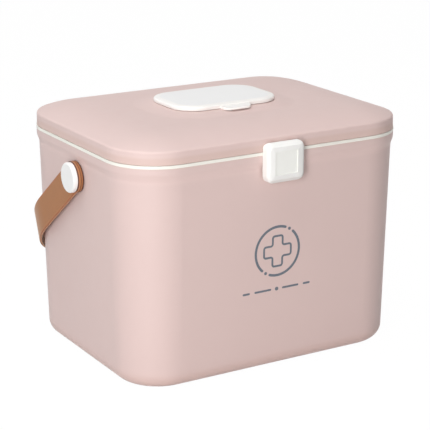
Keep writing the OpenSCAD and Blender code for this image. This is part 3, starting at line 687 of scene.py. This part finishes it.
def strap_band():
    """The finished strap: a flat band with round edges and round ends.

    The section is carried along strap_path. Across the band a point sits at
    w = f (half width - inset). Along it, it sits at s = v / cos(turn) + k w: k is 0 at
    the pivots and reaches -tan(turn) at the bends, whose axis leans from the band's
    own square by the angle turn. Round an end, s and w follow a circle about the pivot.
    """
    turn = STRAP_REST - STRAP_LEAN
    x, v, nx, nv, end = strap_path()
    f, inset, thick = strap_section()
    circle = np.sqrt(np.maximum(STRAP_END**2 - v**2, 0))
    across = np.where(np.abs(v) < STRAP_SHOULDER, circle, STRAP_WIDTH / 2)
    across = np.where(end > 0, STRAP_END * np.cos(end), across)[:, None]
    w = f * (across - inset * np.cos(end)[:, None])
    arm_share = np.clip(v / (STRAP_REACH - STRAP_BEND), 0, 1)
    k = -np.tan(turn) * arm_share**2 * (3 - 2 * arm_share)
    s = np.where(end > 0, v, v / np.cos(turn))[:, None]
    s = s + nv[:, None] * thick / np.cos(turn) + k[:, None] * w + np.sin(end)[:, None] * inset
    px = x[:, None] + nx[:, None] * thick
    py = s * np.cos(STRAP_REST) + w * np.sin(STRAP_REST)
    pz = -s * np.sin(STRAP_REST) + w * np.cos(STRAP_REST)
    points = np.stack([px, py, pz], -1) + STRAP_PIVOT
    values = strap_rims(thick, across, end[:, None] > 0, s, w)
    piece = new_piece("strap_hide", points.reshape(-1, 3), quads(len(x), len(f)), hide, values)
    cut_bores(piece)
    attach(piece, "strap")
    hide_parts(*STRAP_NODES)


def strap_rims(thick, across, round_end, s, w):
    """Attributes of the strap's points for its hide: rim_way and rim_dark.

    rim_way falls below 0 with the way in over a face, and rises above 0 with the depth
    down the edge. rim_dark is strongest outside at the round ends, under the buttons, and
    inside along the band, against the wall: there it is painted shade.
    """
    face_start = -0.4 * MM
    rim = np.where(round_end, STRAP_END - np.hypot(s, w), across - np.abs(w))
    depth = STRAP_THICK / 2 - np.abs(thick)
    on_face = depth < 1e-7
    way = np.where(on_face, STRAP_ROUND - rim + face_start, depth) / MM
    # painted shade: deepest under the buttons at the round ends and against the wall along the band
    outside = np.where(round_end, 1.0, 0.35)
    inside = np.where(round_end, 0.5, 0.9)
    dark = np.where(thick > 0, outside, inside)
    return {"rim_way": way, "rim_dark": dark}


def cut_bores(piece):
    """Cuts the bore for the button stems through both arms, along the pivot axis."""
    mesh = bpy.data.meshes.new("bore")
    work = bmesh.new()
    longer_than_box = 0.4
    rod_size = {"segments": 48, "radius1": STRAP_BORE, "radius2": STRAP_BORE, "depth": longer_than_box}
    bmesh.ops.create_cone(work, cap_ends=True, **rod_size)
    work.to_mesh(mesh)
    work.free()
    rod = bpy.data.objects.new("bore", mesh)
    bpy.context.scene.collection.objects.link(rod)
    rod.rotation_euler = (0, np.pi / 2, 0)
    rod.location = STRAP_PIVOT
    bpy.context.view_layer.update()
    cut = piece.modifiers.new("bore", "BOOLEAN")
    cut.operation = "DIFFERENCE"
    cut.solver = "EXACT"
    cut.object = rod
    done = bpy.data.meshes.new_from_object(piece.evaluated_get(bpy.context.evaluated_depsgraph_get()))
    piece.modifiers.clear()
    piece.data = done
    bpy.data.objects.remove(rod)


def rim_outline(steps=24):
    """Points on the rim's rounded rectangle with their outward normals.

    Each corner is a quarter circle: centre + corner (cos t, sin t), for t from its
    first angle on; the straight sides join them.
    """
    core = np.array([RIM_HALF_X - RIM_CORNER, RIM_HALF_Y - RIM_CORNER])
    t = np.radians(np.linspace(0, 90, steps))[None, :] + np.radians([0, 90, 180, 270])[:, None]
    normal = np.stack([np.cos(t), np.sin(t)], -1)
    signs = np.array([(1, 1), (-1, 1), (-1, -1), (1, -1)])[:, None]
    return (core * signs + RIM_CORNER * normal).reshape(-1, 2), normal.reshape(-1, 2)


def seam_band():
    """White edge that shows between case and lid: the outer edge of the tray's flange.

    A small section (r, z), r outwards from the rim, is carried round rim_outline. Its
    two outer corners are quarter circles, and its inner side is hidden in the flange.
    Points near the corners keep its flats flat where the mesh is shaded smooth.
    """
    near = 0.1 * MM
    low, high = RIM_TOP - 0.2 * MM, LID_SEAM - 0.03 * MM
    bend = SEAM_OUTER - SEAM_EASE
    q = np.radians(np.linspace(0, 90, 5))
    arc = SEAM_EASE * np.stack([np.sin(q), np.cos(q)], -1)
    under = [(SEAM_INNER, low), (bend - near, low)]
    low_corner = (bend, low + SEAM_EASE) + arc * (1, -1)
    front = [(SEAM_OUTER, low + SEAM_EASE + near), (SEAM_OUTER, high - SEAM_EASE - near)]
    high_corner = (bend, high - SEAM_EASE) + arc[:, ::-1]
    over = [(bend - near, high), (SEAM_INNER, high)]
    r, z = np.concatenate([under, low_corner, front, high_corner, over]).T
    place, normal = rim_outline()
    flat = place[:, None] + normal[:, None] * r[None, :, None]
    points = np.concatenate([flat, np.broadcast_to(z[None, :, None], (len(place), len(r), 1))], -1)
    points = np.concatenate([points, points[:1]])
    piece = new_piece("seam_band", points.reshape(-1, 3), quads(len(points), len(r)), inner_white)
    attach(piece, "case")


def front_wall():
    """Depth and slope of the drafted front wall: y = depth + slope * z."""
    mesh = frame["nodes"]["case"].data
    tree = BVHTree.FromPolygons([p.co for p in mesh.vertices], [tuple(p.vertices) for p in mesh.polygons])
    heights = (50 * MM, 140 * MM)
    low, high = (tree.ray_cast(Vector((0, -1, z)), Vector((0, 1, 0)))[0] for z in heights)
    slope = (high.y - low.y) / (high.z - low.z)
    return low.y - slope * low.z, slope


def ink_stroke(wall, path, width, closed=False):
    """One printed line: a flat ribbon of the given width along a path of (x, z) points.

    The ribbon's four edges are the path moved to both sides by half the width,
    in front of the wall by the ink's thickness and a little inside the wall. An
    open line ends in half circles: the half width shrinks as a cosine while the
    path runs on by its sine.
    """
    path = np.asarray(path, float)
    if closed:
        ahead = np.roll(path, -1, 0) - np.roll(path, 1, 0)
        half = np.full(len(path), width / 2)
    else:
        ahead = np.gradient(path, axis=0)
    ahead = ahead / np.linalg.norm(ahead, axis=1, keepdims=True)
    if not closed:
        bow = np.radians(np.linspace(90, 0, 8))[:, None]
        start = path[:1] - ahead[:1] * width / 2 * np.sin(bow)
        finish = path[-1:] + ahead[-1:] * width / 2 * np.sin(bow[::-1])
        path = np.concatenate([start, path[1:-1], finish])
        round_end = width / 2 * np.cos(bow[:, 0])
        half = np.concatenate([round_end, np.full(len(ahead) - 2, width / 2), round_end[::-1]])
        first, last = (np.repeat(a, len(bow), 0) for a in (ahead[:1], ahead[-1:]))
        ahead = np.concatenate([first, ahead[1:-1], last])
    side = np.stack([-ahead[:, 1], ahead[:, 0]], -1) * half[:, None]
    depth, slope = wall
    flat = np.stack([path - side, path - side, path + side, path + side], 1)
    lift = np.array([2 * INK_THICK, -INK_THICK, -INK_THICK, 2 * INK_THICK])
    y = depth + slope * flat[:, :, 1] + lift
    points = np.stack([flat[:, :, 0], y, flat[:, :, 1]], -1)
    if closed:
        points = np.concatenate([points, points[:1]])
    return points.reshape(-1, 3), quads(len(points), 4)


def cross_outline(long, wide, radius, steps=7):
    """Outline of an upright cross with rounded corners, centred on the mark.

    Each corner P with unit vectors a and b along its two sides becomes the points
    P + r a (1 - sin t) + r b (1 - cos t), a quarter circle of radius r.
    """
    arm = np.array([(wide, wide), (wide, long), (-wide, long)])
    turns = [np.array([[c, -s], [s, c]]) for c, s in ((1, 0), (0, 1), (-1, 0), (0, -1))]
    corners = np.concatenate([arm @ t.T for t in turns])
    a = np.roll(corners, 1, 0) - corners
    b = np.roll(corners, -1, 0) - corners
    a, b = (q / np.linalg.norm(q, axis=1, keepdims=True) for q in (a, b))
    t = np.radians(np.linspace(0, 90, steps))[None, :, None]
    loop = corners[:, None] + radius * (a[:, None] * (1 - np.sin(t)) + b[:, None] * (1 - np.cos(t)))
    return loop.reshape(-1, 2) + (0, MARK_Z)


def ring_arc(first, last):
    """Arc of the ring from one angle to another, in degrees from the right."""
    t = np.radians(np.linspace(first, last, 60))
    return np.stack([RING_R * np.cos(t), MARK_Z + RING_R * np.sin(t)], -1)


def dash(x0, x1, z):
    """Level line from x0 to x1."""
    return np.stack([np.linspace(x0, x1, 8), np.full(8, z)], -1)


def front_mark():
    """The printed mark: a ring in two arcs round an outlined cross, dots and dashes."""
    wall = front_wall()
    dot = 0.02 * MM
    low_dot, high_dot = RING_DOTS
    cross = cross_outline(CROSS_LONG, CROSS_WIDE, CROSS_ROUND)
    strokes = [
        ink_stroke(wall, ring_arc(low_dot + RING_GAP, high_dot - RING_GAP), INK_LINE),
        ink_stroke(wall, ring_arc(high_dot + RING_GAP, low_dot + 360 - RING_GAP), INK_LINE),
        ink_stroke(wall, cross, INK_FINE, True),
    ]
    for t in np.radians(RING_DOTS):
        x, z = RING_R * np.cos(t), MARK_Z + RING_R * np.sin(t)
        strokes.append(ink_stroke(wall, dash(x - dot, x + dot, z), 1.25 * INK_LINE))
    for near, far in DASHES:
        strokes += [ink_stroke(wall, dash(s * near, s * far, DASH_Z), INK_FINE) for s in (-1, 1)]
    strokes.append(ink_stroke(wall, dash(-dot, dot, DASH_Z), 1.5 * INK_LINE))
    starts = np.cumsum([0] + [len(p) for p, _ in strokes[:-1]])
    points = np.concatenate([p for p, _ in strokes])
    faces = np.concatenate([q + n for (_, q), n in zip(strokes, starts)])
    piece = new_piece("front_mark", points, faces, ink)
    piece.data.polygons.foreach_set("use_smooth", [False] * len(piece.data.polygons))
    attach(piece, "case")


strap_band()
seam_band()
front_mark()
